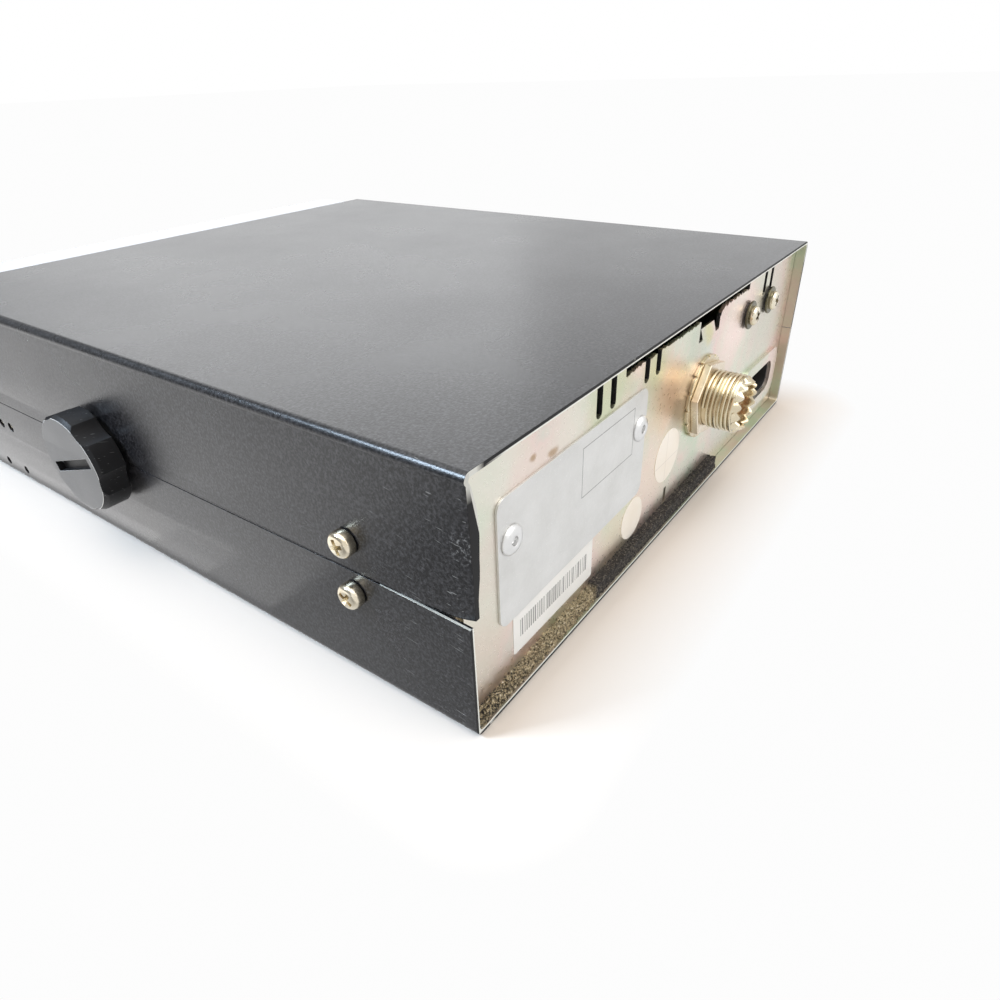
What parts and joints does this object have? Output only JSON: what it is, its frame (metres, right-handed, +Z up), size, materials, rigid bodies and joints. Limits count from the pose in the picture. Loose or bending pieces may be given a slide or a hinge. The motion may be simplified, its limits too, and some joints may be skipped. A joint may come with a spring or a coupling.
{
  "type": "cb radio",
  "caption": "Full-size mobile two-way radio in a folded steel case, with rear antenna, power and speaker sockets, a control panel and bracket thumb screws.",
  "frame": {"origin": "middle of the lower cover's flat underside", "axes": "+Z up, the control panel faces -Y, the rear sockets face +Y, the side seen in the picture faces +X"},
  "size_m": [0.2, 0.2535, 0.057],
  "materials": {
    "painted_steel": "satin",
    "plated_steel": "satin",
    "nickel": "polished",
    "copper": "satin",
    "aluminium": "satin",
    "silver_plastic": "satin",
    "black_plastic": "satin",
    "insulator": "satin",
    "foam": "matt",
    "paper": "matt",
    "clear_lens": "gloss",
    "red_lens": "gloss",
    "white_plastic": "satin",
    "red_plastic": "gloss",
    "board": "satin",
    "sleeve": "gloss",
    "cone_paper": "matt"
  },
  "bodies": {
    "radio": {"top_cover": "painted_steel", "bottom_cover": "painted_steel", "cover_screws": "nickel", "chassis_frame": "plated_steel", "rear_panel": "plated_steel", "foam_strip": "foam", "data_plate": "aluminium", "plate_rivets": "aluminium", "paper_label": "paper", "round_stickers": "paper", "antenna_socket": "nickel", "antenna_insulator": "insulator", "antenna_contact": "copper", "antenna_lock_washer": "nickel", "antenna_nut": "nickel", "power_socket": "black_plastic", "power_pins": "copper", "speaker_jack": "black_plastic", "jack_nut": "nickel", "heatsink_screws": "nickel", "shoulder_washers": "black_plastic", "power_transistors": "black_plastic", "small_nuts": "plated_steel", "weld_nuts": "plated_steel", "front_bezel": "silver_plastic", "inner_screws": "plated_steel", "meter_lens": "clear_lens", "meter_case": "white_plastic", "channel_lens": "red_lens", "channel_display": "black_plastic", "channel_switch": "plated_steel", "control_pots": "plated_steel", "control_nuts": "plated_steel", "toggle_bodies": "black_plastic", "mic_socket": "nickel", "mic_pins": "copper", "mic_nut": "plated_steel", "indicator_lamps": "red_plastic", "main_board": "board", "coil_cans": "aluminium", "capacitors": "sleeve", "speaker_frame": "plated_steel", "speaker_cone": "cone_paper"},
    "channel_control": {"channel_knob": "black_plastic", "channel_shaft": "nickel"},
    "volume_control": {"volume_knob": "black_plastic", "volume_shaft": "nickel"},
    "squelch_control": {"squelch_knob": "black_plastic", "squelch_shaft": "nickel"},
    "gain_control": {"gain_knob": "black_plastic", "gain_shaft": "nickel"},
    "meter_pointer": {"meter_needle": "red_plastic"},
    "toggle_1": {"toggle_lever_1": "nickel"},
    "toggle_2": {"toggle_lever_2": "nickel"},
    "washer_right": {"thumb_washer_right": "foam"},
    "thumb_right": {"thumb_knob_right": "black_plastic", "thumb_stud_right": "nickel"},
    "washer_left": {"thumb_washer_left": "foam"},
    "thumb_left": {"thumb_knob_left": "black_plastic", "thumb_stud_left": "nickel"}
  },
  "joints": [
    {"name": "channel_turn", "type": "hinge", "parent": "radio", "child": "channel_control", "pos_m": [0.068, -0.1235, 0.035], "axis": [0, 1, 0], "continuous": true},
    {"name": "volume_turn", "type": "hinge", "parent": "radio", "child": "volume_control", "pos_m": [-0.04, -0.1235, 0.015], "axis": [0, 1, 0], "range_deg": [0, 300]},
    {"name": "squelch_turn", "type": "hinge", "parent": "radio", "child": "squelch_control", "pos_m": [-0.008, -0.1235, 0.015], "axis": [0, 1, 0], "range_deg": [0, 300]},
    {"name": "gain_turn", "type": "hinge", "parent": "radio", "child": "gain_control", "pos_m": [0.024, -0.1235, 0.015], "axis": [0, 1, 0], "range_deg": [0, 300]},
    {"name": "meter_swing", "type": "hinge", "parent": "radio", "child": "meter_pointer", "pos_m": [-0.058, -0.1146, 0.0351], "axis": [0, 1, 0], "range_deg": [0, 80]},
    {"name": "toggle_1_flip", "type": "hinge", "parent": "radio", "child": "toggle_1", "pos_m": [0.016, -0.1165, 0.0415], "axis": [-1, 0, 0], "range_deg": [0, 24]},
    {"name": "toggle_2_flip", "type": "hinge", "parent": "radio", "child": "toggle_2", "pos_m": [0.03, -0.1165, 0.0415], "axis": [-1, 0, 0], "range_deg": [0, 24]},
    {"name": "thumb_right_travel", "type": "slide", "parent": "radio", "child": "washer_right", "axis": [1, 0, 0], "range_m": [0, 0.0066]},
    {"name": "thumb_right_turn", "type": "hinge", "parent": "washer_right", "child": "thumb_right", "pos_m": [0.0932, -0.014, 0.028], "axis": [1, 0, 0], "range_deg": [0, 2880]},
    {"name": "thumb_left_travel", "type": "slide", "parent": "radio", "child": "washer_left", "axis": [-1, 0, 0], "range_m": [0, 0.0066]},
    {"name": "thumb_left_turn", "type": "hinge", "parent": "washer_left", "child": "thumb_left", "pos_m": [-0.0932, -0.014, 0.028], "axis": [-1, 0, 0], "range_deg": [0, 2880]}
  ],
  "couplings": [
    {"joint": "thumb_right_travel", "follows": "thumb_right_turn", "m_per_rad": 0.00012732},
    {"joint": "thumb_left_travel", "follows": "thumb_left_turn", "m_per_rad": 0.00012732}
  ]
}
